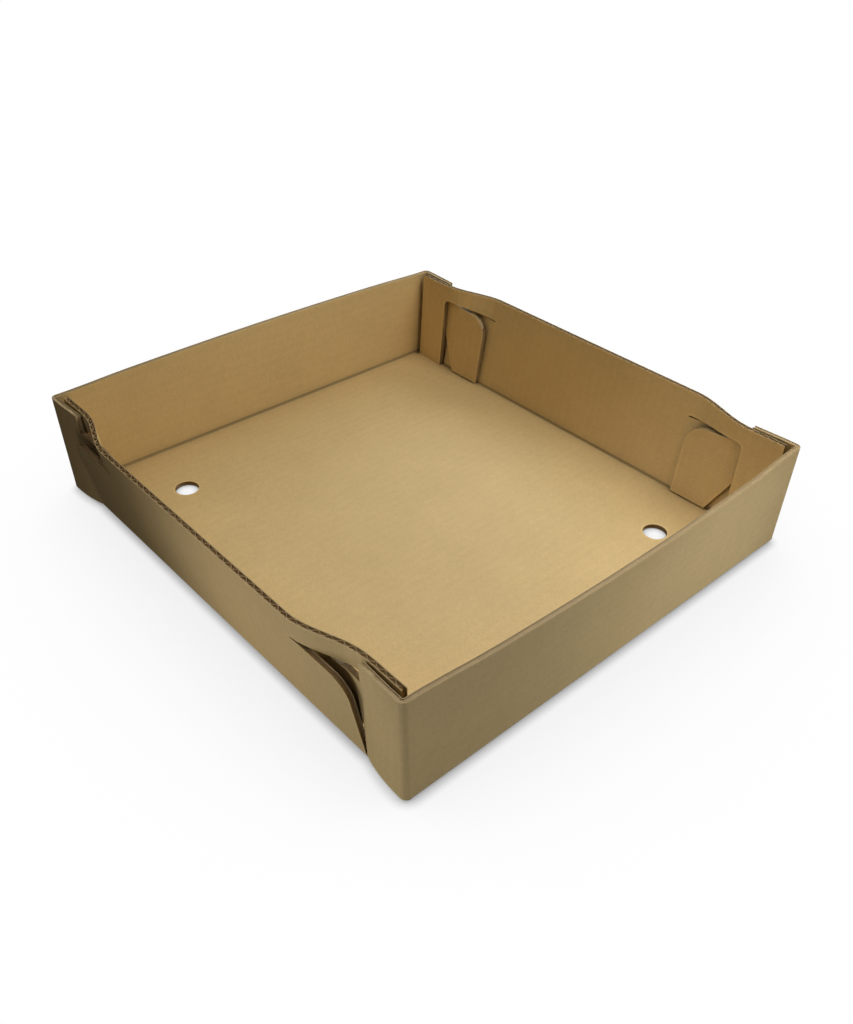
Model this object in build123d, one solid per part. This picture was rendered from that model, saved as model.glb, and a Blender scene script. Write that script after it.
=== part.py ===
"""A takeaway food tray folded from one sheet of corrugated board.

Four walls stand up from creases round the base. Each end wall carries two corner flaps, which fold
round the corner outside the side wall. The narrow tip of each flap passes through a J-shaped slit
in the side wall and lies against its inside, which holds the tray together without glue. The board
springs, so the walls lean outwards between the corners that the flaps hold in.

Millimetres, +Z up, origin in the middle of the underside. +X runs across the tray to a side wall,
+Y runs along it to an end wall.
"""
import os

from build123d import *

# Board and overall size
BOARD = 3.0              # thickness of the corrugated board
BASE_WIDTH = 292.4       # across the creases of the side walls, outside
BASE_DEPTH = 326.0       # across the creases of the end walls, outside
WALL_HEIGHT = 68.0       # underside to rim
FOLD_RADIUS = 0.6        # inside radius of every fold
SLIP = 0.4               # room between two layers of board that lie together

# How far the rims stand out from the creases, which is the spring of the board
SIDE_LEAN = 12.0
END_LEAN = 5.0           # the middle of an end wall, which bows
CORNER_LEAN = 2.6        # the folded corner
COLLAR_LEAN = 0.9        # the held end of a side wall
TONGUE_LEAN = 13.5       # the free end of a tongue, carried up to the rim
TIP_LEAN = 8.0           # a flap's tip, carried up to the rim

# Slits in the side walls
SLIT_PLACE = 31.8        # from the outside of the end wall to the slit
SLIT_WIDTH = 0.9         # width of the cut
WINDOW_RADIUS = 4.0      # upper corner of the opening that a tongue leaves
TONGUE_LENGTH = 44.0     # the tongue beside the slit, from its root to its free end
BAND_HEIGHT = 11.5       # the band of wall over the tongue's shoulder, up to the rim
TONGUE_DROP = 4.0        # the slit falls by this much from the shoulder to the root
TONGUE_RADIUS = 11.0     # rounded shoulder

# Corner flaps, which end in a neck and a tip
FLAP_OFFSET = 0.8        # between the side wall's crease and the flap's inside, at the folded corner
FLAP_GAP = 1.1           # between flap and collar at the rim, over the slit
SHOULDER_ROOM = 1.0      # the flap's full height ends this far before the slit
NECK_LENGTH = 14.0       # the stretch that turns in through the slit
NECK_ROOM = 2.0          # added to the height at which the neck just clears the tongue
TIP_LENGTH = 26.0        # the part that lies inside the wall
TIP_DROP = 0.6           # from the slit's lower edge down to the tip's upper edge, which runs along it
TIP_RADIUS = 14.0        # rounded upper corner of the tip
TABLE_GAP = 2.4          # flaps end this far above the table

# Held ends of the side walls, called collars
COLLAR_GAP = 3.6         # between a collar's end and the end wall
COLLAR_TUCK = 0.6        # the flap pushes the collar's crease in by a board and this much at the slit
COLLAR_SPLAY = 1.8       # and the collar comes back out by this much at the corner

# Steam vents through the base, in two opposite corners
VENT_DIAMETER = 15.0
VENT_X = 97.5
VENT_Y = 112.0

# Sizes that follow from the ones above
half_width = BASE_WIDTH / 2
half_depth = BASE_DEPTH / 2
fold_outside = FOLD_RADIUS + BOARD
wall_foot = fold_outside                     # height where a crease ends and its wall begins
slit_y = half_depth - SLIT_PLACE
shoulder_y = slit_y + SHOULDER_ROOM
neck_end_y = slit_y - NECK_LENGTH
tip_end_y = neck_end_y - TIP_LENGTH
tip_foot = wall_foot + SLIP
tongue_top = WALL_HEIGHT - BAND_HEIGHT
tongue_end_y = slit_y - SLIT_WIDTH
crease_end_y = slit_y - SLIP
tongue_root_y = tongue_end_y - TONGUE_LENGTH
slit_fall = TONGUE_DROP / TONGUE_LENGTH      # slope of the slit and of the tip's upper edge
collar_end_y = half_depth - BOARD - COLLAR_GAP
corner_x = half_width + FLAP_OFFSET + BOARD  # outside of the folded corner at its foot
slit_x = half_width - BOARD - COLLAR_TUCK    # outside of the collar's crease at the slit
flap_foot_x = slit_x + BOARD + SLIP          # outside of the flap over the slit, at its foot
flap_rim_x = half_width + COLLAR_LEAN + FLAP_GAP + BOARD
tip_x = half_width - BOARD - SLIP            # outside of the tip at its foot
base_end_x = slit_x - fold_outside           # where the base's corners begin

# The neck passes behind the tongue, so it starts where the leaning tongue has left enough room
tongue_clearance = flap_foot_x + SLIP - (half_width - BOARD)
tongue_gain = TONGUE_LEAN - (flap_rim_x - flap_foot_x)
neck_foot = wall_foot + (WALL_HEIGHT - wall_foot) * tongue_clearance / tongue_gain + NECK_ROOM

along = Plane(origin=(0, 0, 0), x_dir=(0, 1, 0), z_dir=(1, 0, 0))   # side views, in Y and Z


def smooth_step(share):
    """Rise from 0 to 1 with level ends."""
    return share * share * (3 - 2 * share)


def mirrored(solid):
    """Repeat a solid of one quarter of the tray in all four quarters."""
    pair = solid + solid.mirror(Plane.YZ)
    return pair + pair.mirror(Plane.XZ)


def upright(foot, rim):
    """The board between its level cut at the wall's foot and its level cut at the rim."""
    return loft([Pos(0, 0, wall_foot) * foot, Pos(0, 0, WALL_HEIGHT) * rim], ruled=True)


def fold_section():
    """Section of a crease: a quarter turn from the base (left) up to the wall (right, x = 0)."""
    centre = (-fold_outside, fold_outside)
    outer = CenterArc(centre, fold_outside, -90, 90)
    inner = CenterArc(centre, FOLD_RADIUS, -90, 90)
    return make_face([outer, Line(outer @ 1, inner @ 1), inner, Line(inner @ 0, outer @ 0)])


def base_panel():
    """The base with its vents, out to where the creases begin."""
    edge_x = half_width - fold_outside
    edge_y = half_depth - fold_outside
    panel = Box(2 * edge_x, 2 * crease_end_y, BOARD, align=(Align.CENTER, Align.CENTER, Align.MIN))
    panel += Box(2 * base_end_x, 2 * edge_y, BOARD, align=(Align.CENTER, Align.CENTER, Align.MIN))
    for side in (-1, 1):
        vent = Cylinder(VENT_DIAMETER / 2, 4 * BOARD)
        panel -= Pos(side * VENT_X, -side * VENT_Y, 0) * vent
    return panel


def creases():
    """The folds between the base and the walls."""
    side_plane = Plane(origin=(half_width, 0, 0), x_dir=(1, 0, 0), z_dir=(0, -1, 0))
    side = extrude(side_plane * fold_section(), crease_end_y, both=True)
    end_plane = Plane(origin=(0, half_depth, 0), x_dir=(0, 1, 0), z_dir=(1, 0, 0))
    end = extrude(end_plane * fold_section(), half_width, both=True)
    return side + side.mirror(Plane.YZ) + end + end.mirror(Plane.XZ)


def collar_crease():
    """The crease under a collar, splayed a little, with the corner of the base beside it."""
    start = Plane(origin=(slit_x, slit_y, 0), x_dir=(1, 0, 0), z_dir=(0, -1, 0))
    run = Vector(COLLAR_SPLAY, collar_end_y - slit_y, 0)
    fold = extrude(start * fold_section(), run.length, dir=run)
    corner = Polyline(
        (base_end_x, slit_y),
        (base_end_x, collar_end_y),
        (base_end_x + COLLAR_SPLAY, collar_end_y),
        close=True,
    )
    return fold + extrude(make_face(corner), BOARD)


def flap_lines(corner, slit, end_x, shift):
    """Line of a flap: it leaves the folded corner, turns in through the slit and ends in the tip."""
    stations = (half_depth - fold_outside, slit_y, neck_end_y)
    points = [Vector(x - shift, y) for x, y in zip((corner, slit, end_x), stations)]
    turn = Spline(*points, tangents=[(0, -1), (0, -1)])
    return [turn, Line(turn @ 1, (end_x - shift, tip_end_y))]


def end_strip(lean, corner, slit, end_x):
    """Half of an end wall with one flap, cut level: wall, folded corner, flap, neck and tip."""
    fold_x = corner - fold_outside
    fold_y = half_depth - fold_outside
    shares = (0, 0.25, 0.5, 0.75, 1)
    wall = [Vector(fold_x * share, half_depth + lean * (1 - share ** 2)) for share in shares]
    level = [(1, 0), (1, 0)]
    outside = [Spline(*wall, tangents=level), CenterArc((fold_x, fold_y), fold_outside, 90, -90)]
    outside += flap_lines(corner, slit, end_x, 0)
    inner_wall = [point - Vector(0, BOARD) for point in wall]
    inside = [Spline(*inner_wall, tangents=level), CenterArc((fold_x, fold_y), FOLD_RADIUS, 90, -90)]
    inside += flap_lines(corner, slit, end_x, BOARD)
    start = Line(inside[0] @ 0, outside[0] @ 0)
    end = Line(outside[-1] @ 1, inside[-1] @ 1)
    return make_face([start] + outside + [end] + inside)


def tip_top(y):
    """Height of the tip's upper edge, which runs along the slit."""
    return tongue_top - TIP_DROP - slit_fall * (tongue_end_y - y)


def flap_outline():
    """Side view of the flap below its shoulder, in Y and Z: the neck and the rounded tip."""
    outline = FilletPolyline(
        (shoulder_y, tip_top(shoulder_y)),
        (tip_end_y, tip_top(tip_end_y)),
        (tip_end_y, tip_foot),
        radius=TIP_RADIUS,
    )
    rest = Polyline(
        outline @ 1,
        (neck_end_y, tip_foot),
        (slit_y, neck_foot),
        (slit_y, 0),
        (shoulder_y, 0),
        outline @ 0,
    )
    return make_face([outline, rest])


def end_wall_and_flap():
    """Half an end wall and its corner flap."""
    foot = end_strip(0, corner_x, flap_foot_x, tip_x)
    rim = end_strip(END_LEAN, corner_x + CORNER_LEAN, flap_rim_x, tip_x + TIP_LEAN)
    wall = upright(foot, rim)
    skirt = extrude(Pos(0, 0, TABLE_GAP) * foot, wall_foot - TABLE_GAP)
    crease_room = Box(half_width, 2 * fold_outside, wall_foot, align=(Align.MIN, Align.CENTER, Align.MIN))
    wall += skirt - Pos(0, half_depth, 0) * crease_room

    beyond = Box(BASE_WIDTH, shoulder_y, 2 * WALL_HEIGHT + BOARD, align=(Align.MIN, Align.MIN, Align.CENTER))
    tip = extrude(along * flap_outline(), BASE_WIDTH)
    return wall - (beyond - tip)


def slit_outline(end_y, grow, radius):
    """Side view of one end of a side wall below its slit, in Y and Z.

    It serves for the tongue and, grown by the width of the cut, for the opening it leaves.
    """
    top = tongue_top + grow
    edge = FilletPolyline(
        (tongue_root_y, top - TONGUE_DROP),
        (end_y, top),
        (end_y, wall_foot),
        radius=radius,
    )
    rest = Polyline(edge @ 1, (tongue_root_y, wall_foot), edge @ 0)
    return extrude(along * make_face([edge, rest]), BASE_WIDTH)


def side_strip(points, end_direction):
    """Level cut through a stretch of side wall that starts at a slit's root, from its outside line."""
    ways = [(0, 1), end_direction]
    outside = Spline(*points, tangents=ways)
    inside = Spline(*[point - Vector(BOARD, 0) for point in points], tangents=ways)
    start = Line(inside @ 0, outside @ 0)
    end = Line(outside @ 1, inside @ 1)
    return make_face([start, outside, end, inside])


def turning_line(start_x, end_x, end_y):
    """Points of a line that leaves a slit's root straight and shifts sideways up to end_y."""
    shares = (0, 0.25, 0.5, 0.75, 1)
    stations = [tongue_root_y + share * (end_y - tongue_root_y) for share in shares]
    return [Vector(start_x + (end_x - start_x) * smooth_step(share), y) for share, y in zip(shares, stations)]


def leaning_wall():
    """A side wall between its slits, with a tongue at each end that the flap's tip pushes out."""
    section = Polyline(
        (half_width - BOARD, wall_foot),
        (half_width, wall_foot),
        (half_width + SIDE_LEAN, WALL_HEIGHT),
        (half_width + SIDE_LEAN - BOARD, WALL_HEIGHT),
        close=True,
    )
    across = Plane(origin=(0, 0, 0), x_dir=(1, 0, 0), z_dir=(0, -1, 0))
    middle = extrude(across * make_face(section), tongue_root_y, both=True)
    foot = turning_line(half_width, half_width, tongue_end_y)
    rim = turning_line(half_width + SIDE_LEAN, half_width + TONGUE_LEAN, tongue_end_y)
    tongue = upright(side_strip(foot, (0, 1)), side_strip(rim, (0, 1)))
    tongue &= slit_outline(tongue_end_y, 0, TONGUE_RADIUS)
    return middle + tongue + tongue.mirror(Plane.XZ)


def held_strip(start_x, slit, end_x):
    """Level cut through the held end of a side wall, from the slit's root to the corner."""
    points = turning_line(start_x, slit, slit_y)
    end = Vector(end_x, collar_end_y)
    points += [(points[-1] + end) / 2, end]
    return side_strip(points, (end_x - slit, collar_end_y - slit_y))


def held_end():
    """The band over a slit and the collar beyond it."""
    foot = held_strip(half_width, slit_x, slit_x + COLLAR_SPLAY)
    rim_x = half_width + COLLAR_LEAN
    rim = held_strip(half_width + SIDE_LEAN, rim_x, rim_x)
    return upright(foot, rim) - slit_outline(slit_y, SLIT_WIDTH, WINDOW_RADIUS)


def tray():
    """The whole folded sheet."""
    side = leaning_wall()
    quarter = end_wall_and_flap() + held_end() + collar_crease()
    return base_panel() + creases() + side + side.mirror(Plane.YZ) + mirrored(quarter)


os.makedirs("parts", exist_ok=True)
export_step(tray(), "parts/tray.step")
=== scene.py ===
# %% [markdown]
# # A food tray folded from corrugated board
#
# The tray is one sheet of brown kraft board: two paper liners with a fluted sheet glued between them.
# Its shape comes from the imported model, which is loaded first and never moved. This lesson gives that
# shape its paper: the cut edges where the flutes show, the tone and fibres of the liners, and the light.

import math

import bpy
from mathutils import Matrix, Vector


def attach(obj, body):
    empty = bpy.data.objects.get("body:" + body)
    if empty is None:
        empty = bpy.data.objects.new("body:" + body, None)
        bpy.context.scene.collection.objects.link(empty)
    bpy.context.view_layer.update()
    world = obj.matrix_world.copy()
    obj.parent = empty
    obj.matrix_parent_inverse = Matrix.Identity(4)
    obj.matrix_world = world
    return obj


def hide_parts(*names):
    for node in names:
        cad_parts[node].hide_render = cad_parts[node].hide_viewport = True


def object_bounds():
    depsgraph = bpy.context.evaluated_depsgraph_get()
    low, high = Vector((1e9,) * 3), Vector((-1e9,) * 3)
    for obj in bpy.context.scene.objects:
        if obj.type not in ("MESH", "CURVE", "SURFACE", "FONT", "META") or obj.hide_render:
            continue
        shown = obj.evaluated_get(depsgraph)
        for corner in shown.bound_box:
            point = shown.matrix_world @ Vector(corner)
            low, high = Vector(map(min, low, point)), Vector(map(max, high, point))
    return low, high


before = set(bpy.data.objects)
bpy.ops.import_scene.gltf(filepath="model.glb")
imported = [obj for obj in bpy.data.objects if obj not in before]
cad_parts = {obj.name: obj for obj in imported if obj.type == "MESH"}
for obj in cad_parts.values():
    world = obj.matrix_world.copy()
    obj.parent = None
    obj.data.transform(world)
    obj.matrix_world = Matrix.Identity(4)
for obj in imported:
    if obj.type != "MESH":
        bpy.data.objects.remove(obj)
cad_low, cad_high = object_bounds()
tray_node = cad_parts["tray"]
print("tray size in mm:", [round(1000 * side, 1) for side in cad_high - cad_low])

# %% [markdown]
# ## Picking objects and faces in code
#
# Blender's operators act on whatever is selected, so each step first says what it works on. Faces are
# picked by where they are and which way they look, which is how a modeller would point at them.

# %% Helpers for selecting
def use_only(piece):
    """Select one object, deselect the rest, and make it the active one."""
    bpy.ops.object.select_all(action="DESELECT")
    piece.select_set(True)
    bpy.context.view_layer.objects.active = piece


def pick_faces(piece, wanted):
    """Open a piece in edit mode with just the faces selected for which wanted(centre, normal) holds."""
    use_only(piece)
    bpy.context.tool_settings.mesh_select_mode = (False, False, True)
    mesh = piece.data
    for part in (mesh.vertices, mesh.edges):
        part.foreach_set("select", [False] * len(part))
    chosen = [bool(wanted(face.center, face.normal)) for face in mesh.polygons]
    mesh.polygons.foreach_set("select", chosen)
    bpy.ops.object.mode_set(mode="EDIT")
    return sum(chosen)


# %% [markdown]
# ## The board
#
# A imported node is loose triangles, so a copy is merged into one skin before it is worked on. The copy
# stands for the node from here on: it keeps the node's size and place, and only its edges get finer.

# %% Copy and merge the folded sheet
MERGE_DISTANCE = 1e-6

board = bpy.data.objects.new("folded_board", tray_node.data.copy())
bpy.context.scene.collection.objects.link(board)
pick_faces(board, lambda centre, normal: True)
bpy.ops.mesh.remove_doubles(threshold=MERGE_DISTANCE)
bpy.ops.object.mode_set(mode="OBJECT")
print("board:", len(board.data.vertices), "points,", len(board.data.polygons), "faces")

# %% [markdown]
# ## The line of a rim
#
# The flutes stand upright in the side walls, so their wave shows along the rims of those walls. To lay
# them out later, the outer edge of each rim is read from the board now, before its edges are changed.
# It leaves one held corner, swings out over the slit, runs straight and swings back in.

# %% Read the rims of the side walls
BOARD = 0.003             # thickness of the sheet
SIDE_WALL_X = 0.138       # side walls and everything folded on to them stand outside this
END_WALL_Y = 0.1593       # end walls and folded corners stand outside this
SLIT_Y = 0.1312           # the slits are this far along; beyond them the flaps stand outside the wall
FLAP_X = 0.1485           # and a flap's rim is farther out than this
OUTWARD = 0.5             # a wall's outside looks along X by more than this share

rim_z = cad_high.z


def rim_line(side):
    """Points along the middle of one side wall's rim, in order; side is 1 for +X and -1 for -X."""
    mesh = board.data
    found = set()
    for face in mesh.polygons:
        if side * face.normal.x > OUTWARD:
            found.update(face.vertices)
    points = []
    for index in found:
        x, y, z = mesh.vertices[index].co
        on_flap = abs(y) > SLIT_Y and side * x > FLAP_X
        if z > rim_z - MERGE_DISTANCE and side * x > SIDE_WALL_X and not on_flap:
            points.append(Vector((x - side * BOARD / 2, y, 0)))
    return sorted(points, key=lambda point: point.y)


rim_lines = {side: rim_line(side) for side in (-1, 1)}
for side, points in rim_lines.items():
    print("rim", side, "has", len(points), "points from", points[0].y, "to", points[-1].y)

# %% [markdown]
# ## Cut edges
#
# Wherever the sheet was cut, its two liners stand as thin lips and the fluting between them sits deeper.
# A painted line would vanish from close by, so the edge faces are inset by a liner's thickness and sunk.
# Across the flutes, as on the side walls' rims and in the vents, the cut opens into deep hollows. Along
# them, as on the rims of the end walls and their flaps, it only leaves a shallow strip of fluted paper.

# %% Tell the cut edges apart
CREASE_TOP = 0.0037       # below this a side wall is crease, not cut
TIP_TOP = 0.057           # the locking tips end below this
TIP_X = 0.150             # and stand inside this
RIM_FACING = 0.9          # the end walls' rims look up by more than this share
WALL_CUT_FACING = 0.35    # cuts in the side walls look along X by less than this share
VENT_FACING = 0.3         # the vents' sides look up or down by less than this share
TIP_FACING = 0.5          # the tips' long edges look up by more than this share


def is_cut_edge(centre, normal):
    """True for the faces that the cutting die made."""
    if abs(centre.y) > END_WALL_Y:
        return normal.z > RIM_FACING and centre.z > rim_z - MERGE_DISTANCE
    if abs(centre.x) > SIDE_WALL_X:
        return centre.z > CREASE_TOP and abs(normal.x) < WALL_CUT_FACING
    return abs(normal.z) < VENT_FACING and centre.z < BOARD


def runs_along_flutes(centre, normal):
    """True for cut edges of the end walls, of their flaps and of the flaps' tips, but not the tips' ends."""
    on_flap = abs(centre.y) > SLIT_Y and abs(centre.x) > FLAP_X
    by_tip = abs(centre.x) < TIP_X and abs(centre.y) < SLIT_Y and centre.z < TIP_TOP
    on_tip = by_tip and normal.z > TIP_FACING
    return abs(centre.y) > END_WALL_Y or on_flap or on_tip


# %% Sink the fluting at every cut edge
LINER = 0.00038           # thickness of a paper liner
LIP_SLOPE = 0.00002       # the lips' inner sides lean by this much
FLUTE_DEPTH = 0.0012      # how far the fluting sits below a cut across it
STRIP_DEPTH = 0.0004      # and below a cut along it
SLOTS = ["liner across", "liner along", "cut liner", "fluting"]

board.data.materials.clear()
for slot in SLOTS:
    board.data.materials.append(None)


def sink_edges(wanted, depth, floor_slot):
    """Inset the wanted edge faces by a liner and sink what is left; returns how many faces there were."""
    count = pick_faces(board, wanted)
    board.active_material_index = SLOTS.index("cut liner")
    bpy.ops.object.material_slot_assign()
    bpy.ops.mesh.inset(thickness=LINER, depth=0.0, use_boundary=True, use_even_offset=True)
    bpy.ops.mesh.inset(thickness=LIP_SLOPE, depth=-depth, use_boundary=True, use_even_offset=True)
    board.active_material_index = SLOTS.index(floor_slot)
    bpy.ops.object.material_slot_assign()
    bpy.ops.object.mode_set(mode="OBJECT")
    return count


def is_open_edge(centre, normal):
    """True where the die cut across the flutes."""
    return is_cut_edge(centre, normal) and not runs_along_flutes(centre, normal)


def is_strip_edge(centre, normal):
    """True where the die cut along the flutes."""
    return is_cut_edge(centre, normal) and runs_along_flutes(centre, normal)


open_count = sink_edges(is_open_edge, FLUTE_DEPTH, "fluting")
strip_count = sink_edges(is_strip_edge, STRIP_DEPTH, "cut liner")
for vertex in board.data.vertices:
    vertex.co.z = max(0.0, min(vertex.co.z, rim_z))
print("cut edges:", open_count, "faces across the flutes,", strip_count, "along them")

# %% [markdown]
# ## Flutes
#
# One flute is a single wave of paper. An upright edge is extruded along that wave a step at a time, an
# Array repeats it down the wall, Solidify gives the paper its thickness and a Curve bends the row along
# the rim. All three are applied, so the finished row is plain mesh that fits inside the sunk edge.

# %% Lay flutes in the side walls' rims
FLUTE_PITCH = 0.0065
FLUTE_HEIGHT = 0.00094    # half the wave, from the middle of the board
FLUTE_STEPS = 12
PAPER = 0.00028           # thickness of the fluted paper
PAPER_BELOW_RIM = 0.00012
END_MARGIN = 0.001


def flute_row(name, points):
    """A row of flutes along a line of points."""
    length = sum((b - a).length for a, b in zip(points, points[1:]))
    count = int((length - 2 * END_MARGIN) / FLUTE_PITCH)

    line = bpy.data.curves.new(name + "_line", "CURVE")
    spline = line.splines.new("POLY")
    spline.points.add(len(points) - 1)
    for knot, point in zip(spline.points, points):
        knot.co = (point.x, point.y, 0, 1)
    guide = bpy.data.objects.new(name + "_line", line)
    bpy.context.scene.collection.objects.link(guide)

    bpy.ops.object.select_all(action="DESELECT")
    bpy.ops.mesh.primitive_plane_add(size=1)
    row = bpy.context.object
    row.name = name
    bpy.context.tool_settings.mesh_select_mode = (True, False, False)
    bpy.ops.object.mode_set(mode="EDIT")
    bpy.ops.mesh.merge(type="CENTER")
    start = (length - count * FLUTE_PITCH) / 2
    bpy.ops.transform.translate(value=(start, 0, rim_z - FLUTE_DEPTH))
    bpy.ops.mesh.extrude_region_move(
        TRANSFORM_OT_translate={"value": (0, 0, FLUTE_DEPTH - PAPER_BELOW_RIM)})
    bpy.ops.mesh.select_all(action="SELECT")
    for step in range(FLUTE_STEPS):
        turns = [2 * math.pi * (step + ahead) / FLUTE_STEPS for ahead in (0, 1)]
        rise = FLUTE_HEIGHT * (math.sin(turns[1]) - math.sin(turns[0]))
        bpy.ops.mesh.extrude_region_move(
            TRANSFORM_OT_translate={"value": (FLUTE_PITCH / FLUTE_STEPS, rise, 0)})
    bpy.ops.object.mode_set(mode="OBJECT")

    repeat = row.modifiers.new("repeat", "ARRAY")
    repeat.count = count
    repeat.use_relative_offset = False
    repeat.use_constant_offset = True
    repeat.constant_offset_displace = (FLUTE_PITCH, 0, 0)
    repeat.use_merge_vertices = True
    repeat.merge_threshold = 10 * MERGE_DISTANCE
    thick = row.modifiers.new("paper", "SOLIDIFY")
    thick.thickness = PAPER
    thick.offset = 0
    bend = row.modifiers.new("bend", "CURVE")
    bend.object = guide
    for modifier in ("repeat", "paper", "bend"):
        bpy.ops.object.modifier_apply(modifier=modifier)
    bpy.data.objects.remove(guide)
    bpy.ops.object.mode_set(mode="EDIT")
    bpy.ops.mesh.select_all(action="SELECT")
    bpy.ops.mesh.normals_make_consistent(inside=False)
    bpy.ops.object.mode_set(mode="OBJECT")
    return row


flute_rows = [flute_row("flutes_left", rim_lines[-1]), flute_row("flutes_right", rim_lines[1])]
for row in flute_rows:
    print(row.name, len(row.data.polygons), "faces")

# %% [markdown]
# ## Kraft paper
#
# Kraft liner is unbleached: warm brown, matt, a little cloudy, with short fibres and flecks of bark. A
# picture of paper would repeat and blur, so its look is worked out from Object coordinates in metres:
# every pattern keeps its real size on every side. First come a few helpers that make nodes in code.

# %% Helpers for materials
NOISE_MIDDLE = 0.5
NOISE_ROUGHNESS = 0.55    # weight of each finer layer of a soft pattern
HAIR_DETAIL = 2           # finer layers in the pattern that hairs are read from
NEARNESS_SAMPLES = 8      # rays that look for paper nearby


def link_or_set(tree, socket, value):
    """Join another socket to this one, or give it a plain value."""
    if isinstance(value, bpy.types.NodeSocket):
        tree.links.new(value, socket)
    else:
        socket.default_value = value


def add_node(tree, kind, inputs, **settings):
    """Add a node with its settings and inputs; an input is named by its socket's name or number."""
    node = tree.nodes.new(kind)
    for name, value in settings.items():
        setattr(node, name, value)
    for name, value in inputs.items():
        link_or_set(tree, node.inputs[name], value)
    return node


def combine(tree, operation, first, second=0.0):
    """One sum on one or two values."""
    return add_node(tree, "ShaderNodeMath", {0: first, 1: second}, operation=operation).outputs[0]


def remap(tree, value, low, high, new_low, new_high):
    """Stretch a value from one range to another, held at both ends."""
    inputs = {"Value": value, "From Min": low, "From Max": high, "To Min": new_low, "To Max": new_high}
    return add_node(tree, "ShaderNodeMapRange", inputs, clamp=True).outputs[0]


def noise(tree, place, scale, detail, stretch=(1, 1, 1)):
    """Soft random pattern around NOISE_MIDDLE: patches per metre, then how many finer layers it has."""
    drawn = add_node(tree, "ShaderNodeMapping", {"Vector": place, "Scale": stretch}).outputs[0]
    inputs = {"Vector": drawn, "Scale": scale, "Detail": detail, "Roughness": NOISE_ROUGHNESS}
    return add_node(tree, "ShaderNodeTexNoise", inputs).outputs[0]


def hairs(tree, place, scale, stretch):
    """Thin winding lines, 0 along each line: the places where a soft pattern passes through its middle."""
    soft = noise(tree, place, scale, HAIR_DETAIL, stretch)
    return combine(tree, "ABSOLUTE", combine(tree, "SUBTRACT", soft, NOISE_MIDDLE))


def nearness(tree, reach, inside=False):
    """1 in the open, less where other paper is within reach; inside looks into the board instead."""
    settings = {"samples": NEARNESS_SAMPLES, "inside": inside}
    return add_node(tree, "ShaderNodeAmbientOcclusion", {"Distance": reach}, **settings).outputs["AO"]


# %% [markdown]
# ## What a liner shows
#
# Each line of the table below is one thing the eye finds on the paper: the pattern, the range it is read
# over, and how much darker or lighter it makes the brown at each end of that range. Fibres lie along the
# sheet as it ran through the machine, across the flutes. Folds, gaps and score lines get painted shade,
# the washboard gets painted shade of its ridges, and outer edges are rubbed a little lighter.

# %% The paper's patterns
# paper within this reach gets painted shade: mild in folds, deep in gaps
FOLD_REACH = 0.008        # paper nearer than this makes a fold or a gap, which looks darker
RUB_REACH = 0.0012        # outer edges are rubbed this far in
GRAIN = 0.35              # fibres are drawn out by one over this
SIDE_SCORE_X = 0.1429     # the side walls fold up along this line
END_SCORE_Y = 0.1597      # and the end walls along this one
SCORE_TOP = 0.0045        # a score is pressed into the inside of the sheet, below this height
# the score lines are painted darker, as shade in the pressed crease
SCORE_WIDTH = 0.0013      # and fades out this far from its line


def score_lines(tree, split):
    """Distance from the lines pressed along the base's folds, where a thin line of shade is painted; 1 or
    more where there is none.
    """
    across = combine(tree, "ABSOLUTE", split["X"])
    along = combine(tree, "ABSOLUTE", split["Y"])
    off_side = combine(tree, "ABSOLUTE", combine(tree, "SUBTRACT", across, SIDE_SCORE_X))
    off_end = combine(tree, "ABSOLUTE", combine(tree, "SUBTRACT", along, END_SCORE_Y))
    past_side = combine(tree, "GREATER_THAN", across, SIDE_SCORE_X + SCORE_WIDTH)
    past_end = combine(tree, "GREATER_THAN", along, END_SCORE_Y + SCORE_WIDTH)
    to_side = combine(tree, "ADD", off_side, past_end)
    to_end = combine(tree, "ADD", off_end, past_side)
    away = combine(tree, "MINIMUM", to_side, to_end)
    above = combine(tree, "GREATER_THAN", split["Z"], SCORE_TOP)
    below = combine(tree, "LESS_THAN", split["Z"], BOARD - LINER)
    return combine(tree, "ADD", combine(tree, "ADD", above, below), away)


def paper_patterns(tree, place, stripe_axis):
    """All patterns of a liner whose flutes repeat along stripe_axis, by name."""
    grain = [1.0, 1.0, 1.0]
    grain[stripe_axis] = GRAIN
    split = add_node(tree, "ShaderNodeSeparateXYZ", {0: place}).outputs
    turns = combine(tree, "MULTIPLY", split[stripe_axis], 2 * math.pi / FLUTE_PITCH)
    painted_fold_shade = nearness(tree, FOLD_REACH)
    return {
        "clouds": noise(tree, place, 24, 4),
        "mottle": noise(tree, place, 170, 3),
        "fibres": noise(tree, place, 2200, 4, grain),
        "dark hairs": hairs(tree, place, 420, grain),
        "pale hairs": hairs(tree, place, 650, grain),
        "bark": noise(tree, place, 1500, 1, grain),
        "washboard": combine(tree, "SINE", turns),
        "painted_score_shade": score_lines(tree, split),
        "painted_fold_shade": painted_fold_shade,
        "painted_gap_shade": painted_fold_shade,
        "rubbed edges": nearness(tree, RUB_REACH, inside=True),
    }


TONES = [
    ("clouds", 0.3, 0.7, 0.97, 1.03),
    ("mottle", 0.3, 0.7, 0.98, 1.02),
    ("fibres", 0.25, 0.75, 0.92, 1.08),
    ("dark hairs", 0.004, 0.022, 0.93, 1.0),
    ("pale hairs", 0.003, 0.020, 1.06, 1.0),
    ("bark", 0.72, 0.80, 1.0, 0.74),
    # the washboard's light and dark bands are painted shade of the flute ridges; its bump is added below
    ("washboard", -1.0, 1.0, 0.99, 1.01),
    # painted shade along the score lines
    ("painted_score_shade", 0.0004, SCORE_WIDTH, 0.58, 1.0),
    # painted shade in folds, and darker painted shade in deep gaps
    ("painted_fold_shade", 0.35, 0.95, 0.78, 1.0),
    ("painted_gap_shade", 0.05, 0.45, 0.35, 1.0),
    ("rubbed edges", 0.4, 0.9, 1.08, 1.0),
]
print("a liner shows:", [name for name, *rest in TONES])

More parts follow.
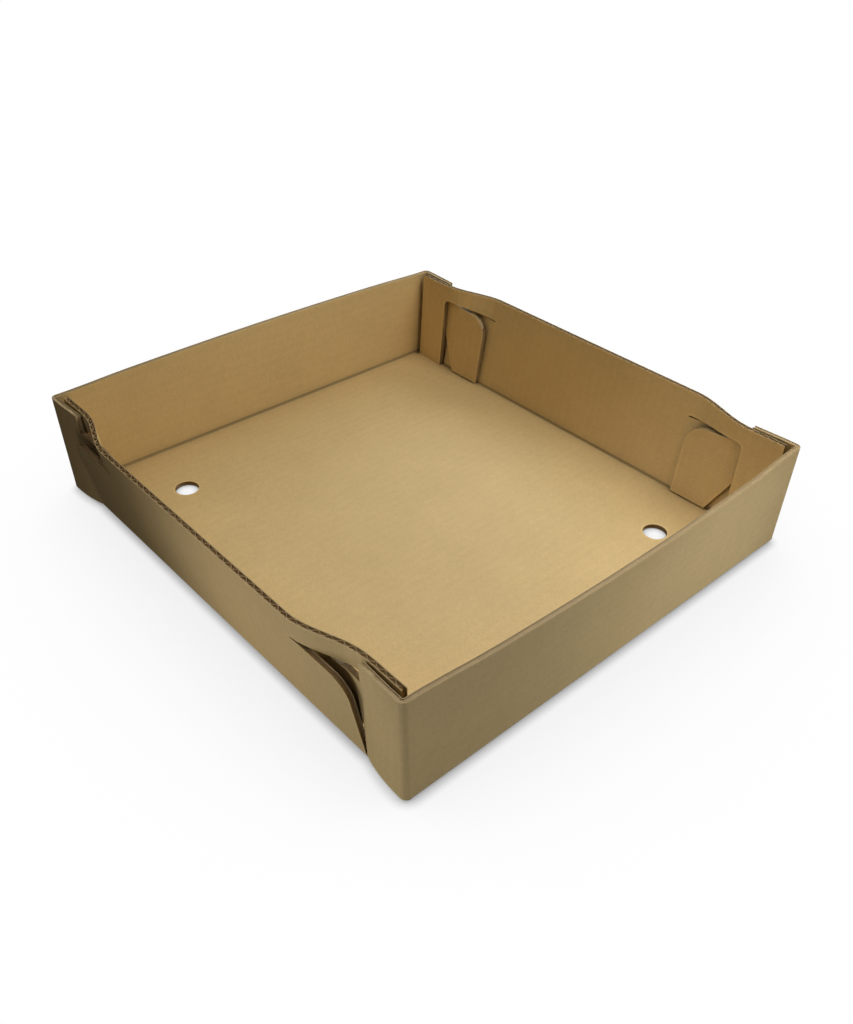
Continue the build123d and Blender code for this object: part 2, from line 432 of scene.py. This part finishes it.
# %% [markdown]
# ## From patterns to a material
#
# The tones are multiplied into the brown, so dark stays dark and nothing turns grey. The same fibres also
# raise the surface a little and vary its roughness, because light catches on what the eye sees. Liner is
# pressed smooth in the mill, so it has a broad dull sheen, set straight on the shader.

# %% A paper material
SHINE = 0.5
FIBRE_RANGE = (0.2, 0.8)  # fibres are read over this range
SMOOTHEST = 0.52          # and give the paper this roughness at its low end
ROUGHEST = 0.66           # and this at its high end
WASHBOARD_SHARE = 0.3     # the washboard's part in the surface's height, where mottle and fibres have 1
BUMP_STRENGTH = 0.3
BUMP_HEIGHT = 0.0001


def kraft_paper(name, colour, stripe_axis, tones=TONES):
    """Brown paper whose flutes repeat along stripe_axis (1 for Y, 2 for Z)."""
    material = bpy.data.materials.new(name)
    material.use_nodes = True
    tree = material.node_tree
    shader = tree.nodes["Principled BSDF"]
    place = tree.nodes.new("ShaderNodeTexCoord").outputs["Object"]
    patterns = paper_patterns(tree, place, stripe_axis)
    tone = 1.0
    for pattern, low, high, at_low, at_high in tones:
        shade = remap(tree, patterns[pattern], low, high, at_low, at_high)
        tone = combine(tree, "MULTIPLY", shade, tone)
    paper = add_node(tree, "ShaderNodeVectorMath", {0: colour, "Scale": tone}, operation="SCALE")
    link_or_set(tree, shader.inputs["Base Color"], paper.outputs[0])
    roughness = remap(tree, patterns["fibres"], *FIBRE_RANGE, SMOOTHEST, ROUGHEST)
    link_or_set(tree, shader.inputs["Roughness"], roughness)
    shader.inputs["Specular IOR Level"].default_value = SHINE
    height = combine(tree, "MULTIPLY", patterns["washboard"], WASHBOARD_SHARE)
    for pattern in ("mottle", "fibres"):
        height = combine(tree, "ADD", height, patterns[pattern])
    inputs = {"Strength": BUMP_STRENGTH, "Distance": BUMP_HEIGHT, "Height": height}
    bump = add_node(tree, "ShaderNodeBump", inputs)
    link_or_set(tree, shader.inputs["Normal"], bump.outputs[0])
    return material


# %% [markdown]
# ## Four papers
#
# Flutes run from side wall to side wall. On the base and the side walls they repeat along Y, and on the
# end walls, which fold up, along Z: that makes two liners. Where the die cut it, a liner is rougher and
# darker, with painted shade of the edge in its brown, and nothing has rubbed it. The fluting lies so deep
# that it has real shade, so the painted shade of folds and gaps is left out of it.

# %% Put the papers on the board
KRAFT = (0.69, 0.50, 0.22)
# the cut liner's brown is darker for rough cut paper and for painted shade of the edge
CUT_KRAFT = (0.43, 0.30, 0.135)
FLUTING = (0.42, 0.28, 0.125)
TIP_END_Y = 0.0945        # the locking tips end inside this
TIP_END_FACING = 0.7      # and their ends look along the wall by more than this share

# the cut liner keeps the painted shade of folds and gaps; the fluting leaves it out
CUT_TONES = [tone for tone in TONES if tone[0] != "rubbed edges"]
FLUTING_TONES = [tone for tone in CUT_TONES if tone[0] not in ("painted_fold_shade", "painted_gap_shade")]


def is_tip_end(centre, normal):
    """True on the cut ends of the locking tips: open flutes show between the liners, and the liners' lips
    take the dark fluting paper too, as painted shade.
    """
    return abs(centre.x) > SIDE_WALL_X and abs(centre.y) < TIP_END_Y and abs(normal.y) > TIP_END_FACING


papers = [
    kraft_paper("kraft_liner_across", KRAFT, 1),
    kraft_paper("kraft_liner_along", KRAFT, 2),
    kraft_paper("cut_kraft_liner", CUT_KRAFT, 1, CUT_TONES),
    kraft_paper("fluting_paper", FLUTING, 1, FLUTING_TONES),
]
for index, paper in enumerate(papers):
    board.data.materials[index] = paper
for face in board.data.polygons:
    if face.material_index == SLOTS.index("liner across") and abs(face.center.y) > END_WALL_Y:
        face.material_index = SLOTS.index("liner along")
    # the lips of the tips' ends take the fluting paper as painted shade
    elif face.material_index == SLOTS.index("cut liner") and is_tip_end(face.center, face.normal):
        face.material_index = SLOTS.index("fluting")
for row in flute_rows:
    row.data.materials.append(papers[SLOTS.index("fluting")])
print("papers:", [paper.name for paper in papers])

# %% [markdown]
# ## Even shading
#
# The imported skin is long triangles, and plain smooth shading would smear light across them. Edges that
# turn by more than a fold's small steps are kept sharp, and a Weighted Normal modifier lets the large
# flat faces decide the shading of the rest.

# %% Smooth the folds and hand the pieces to the frame
SHARP_ANGLE = math.radians(35)

for piece in [board] + flute_rows:
    use_only(piece)
    bpy.ops.object.shade_smooth_by_angle(angle=SHARP_ANGLE)
    even = piece.modifiers.new("even shading", "WEIGHTED_NORMAL")
    even.keep_sharp = True
    bpy.ops.object.modifier_apply(modifier="even shading")
    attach(piece, "root")
    print(piece.name, "rides on root")
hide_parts("tray")

# %% [markdown]
# ## The floor
#
# The tray stands on a plain white floor, as in a catalogue. A lit floor would throw light back on to the
# walls, so this one shines by itself and only the camera sees it. A soft shadow is painted on it: a little
# darker where the tray is near and more where it touches.

# %% The floor
FLOOR_SIZE = 8.0
# the floor's painted shadow: a broad one within SHADE_REACH and a darker contact shadow within CONTACT_REACH
SHADE_REACH = 0.2         # the floor darkens when the tray is nearer than this
SHADE_RANGE = (0.1, 0.9)
SHADE_TONE = 0.78
CONTACT_REACH = 0.006     # and darkens more when it is nearer than this
CONTACT_RANGE = (0.3, 0.95)
CONTACT_TONE = 0.4

bpy.ops.object.select_all(action="DESELECT")
bpy.ops.mesh.primitive_plane_add(size=FLOOR_SIZE)
floor = bpy.context.object
floor.name = "pale_floor"
floor_paint = bpy.data.materials.new("pale_floor")
floor_paint.use_nodes = True
tree = floor_paint.node_tree
shade = remap(tree, nearness(tree, SHADE_REACH), *SHADE_RANGE, SHADE_TONE, 1.0)
contact = remap(tree, nearness(tree, CONTACT_REACH), *CONTACT_RANGE, CONTACT_TONE, 1.0)
glow = add_node(tree, "ShaderNodeEmission", {"Strength": combine(tree, "MULTIPLY", shade, contact)})
link_or_set(tree, tree.nodes["Material Output"].inputs["Surface"], glow.outputs[0])
floor.data.materials.append(floor_paint)
floor.visible_diffuse = False
floor.visible_glossy = False
floor.visible_shadow = False
print("floor:", FLOOR_SIZE, "m wide")

# %% [markdown]
# ## Light
#
# Most of the light comes from behind on the right, as from two large windows, so the walls that face the
# camera are in shade. Warm light falls from the ceiling. The white table throws some light back up on to
# the shaded walls, and because the floor here gives none, small soft boxes lie on it instead.

# %% Soft boxes
MIDDLE = Vector((0, 0, 0.02))
DAYLIGHT = (0.97, 1.0, 0.92)
WARM = (1.0, 0.92, 0.90)
COOL = (0.89, 0.92, 1.0)
WHITE = (1.0, 1.0, 1.0)


def hang_lamp(name, kind, place, target, power, colour):
    """A lamp at a place, turned to a target and unseen by the camera."""
    lamp = bpy.data.objects.new(name, bpy.data.lights.new(name, kind))
    lamp.data.energy = power
    lamp.data.color = colour
    lamp.location = place
    lamp.rotation_euler = (Vector(target) - lamp.location).to_track_quat("-Z", "Y").to_euler()
    lamp.visible_camera = False
    bpy.context.scene.collection.objects.link(lamp)
    return lamp


for name, place, target, size, power, colour in (
    ("window", (0.6, 0.9, 0.5), MIDDLE, 0.6, 3.3, DAYLIGHT),
    ("second_window", (0.9, 0.5, 0.9), MIDDLE, 0.6, 4.2, DAYLIGHT),
    ("ceiling", (-0.65, 0, 1.46), MIDDLE, 0.9, 3.3, WARM),
    ("overhead", (0.2, -0.2, 0.45), MIDDLE, 0.3, 1.3, WHITE),
    ("front_fill", (0.2, -0.75, 0.1), MIDDLE, 0.3, 0.62, COOL),
    ("table_left", (-0.26, -0.04, 0.004), (-0.104, -0.016, 0.05), 0.08, 0.03, WARM),
    ("table_left_front", (-0.30, -0.20, 0.004), (-0.12, -0.08, 0.05), 0.12, 0.06, COOL),
    ("table_front", (0.0, -0.40, 0.004), (0.0, -0.16, 0.05), 0.15, 0.14, COOL),
):
    soft_box = hang_lamp(name, "AREA", place, target, power, colour)
    soft_box.data.size = size
    print("soft box:", name, power, "W")

# %% [markdown]
# ## Pools of light
#
# Soft boxes alone would leave the two near walls flat. A spot with a firm rim lights the front of the
# left wall, so its rear falls quickly into shade, and a softer one brightens the right of the front wall.

# %% Pools of light
LAMP_RADIUS = 0.05

for name, place, target, cone, softness, power, colour in (
    ("left_pool", (-0.60, 0.08, 0.20), (-0.152, -0.084, 0.03), 27, 0.25, 2.4, COOL),
    ("front_pool", (0.35, -0.60, 0.01), (0.08, -0.165, 0.03), 24, 1.0, 3.0, COOL),
):
    pool = hang_lamp(name, "SPOT", place, target, power, colour)
    pool.data.spot_size = math.radians(cone)
    pool.data.spot_blend = softness
    pool.data.shadow_soft_size = LAMP_RADIUS
    print("pool:", name, power, "W")

# %% [markdown]
# ## The room
#
# The room itself gives only a trace of light, so that gaps stay dark. To the camera it is as white as the
# floor, so no horizon shows. The Standard view keeps the white floor white and the browns true.

# %% Surroundings
AMBIENT = 0.015

world = bpy.data.worlds.new("studio")
bpy.context.scene.world = world
world.use_nodes = True
tree = world.node_tree
background = tree.nodes["Background"]
seen = tree.nodes.new("ShaderNodeLightPath").outputs["Is Camera Ray"]
background.inputs["Color"].default_value = (1, 1, 1, 1)
link_or_set(tree, background.inputs["Strength"], remap(tree, seen, 0, 1, AMBIENT, 1))
bpy.context.scene.view_settings.view_transform = "Standard"
print("room light:", AMBIENT)

# %% [markdown]
# ## The camera
#
# The camera looks down on one corner, from the height of someone standing at a counter. Its place is
# given as a turn, a height angle and a distance from a point near the middle of the base, which is easier
# to adjust by eye than three coordinates. The small roll is a hand-held tilt.

# %% Place the camera
LENS = 34.71
CLIP_START = 0.01
AZIMUTH = math.radians(-42.82)
ELEVATION = math.radians(36.65)
ROLL = math.radians(1.66)
DISTANCE = 0.6247
TARGET = Vector((0.0059, -0.0032, 0.0))

backward = Vector((
    math.sin(AZIMUTH) * math.cos(ELEVATION),
    -math.cos(AZIMUTH) * math.cos(ELEVATION),
    math.sin(ELEVATION),
))
level = Vector((math.cos(AZIMUTH), math.sin(AZIMUTH), 0.0))
right = level * math.cos(ROLL) + backward.cross(level) * math.sin(ROLL)
turn = Matrix((right, backward.cross(right), backward)).transposed()
camera_data = bpy.data.cameras.new("camera")
camera_data.lens = LENS
camera_data.clip_start = CLIP_START
camera = bpy.data.objects.new("camera", camera_data)
camera.matrix_world = Matrix.Translation(TARGET + backward * DISTANCE) @ turn.to_4x4()
bpy.context.scene.collection.objects.link(camera)
bpy.context.scene.camera = camera
print("camera at", [round(value, 3) for value in camera.matrix_world.translation])
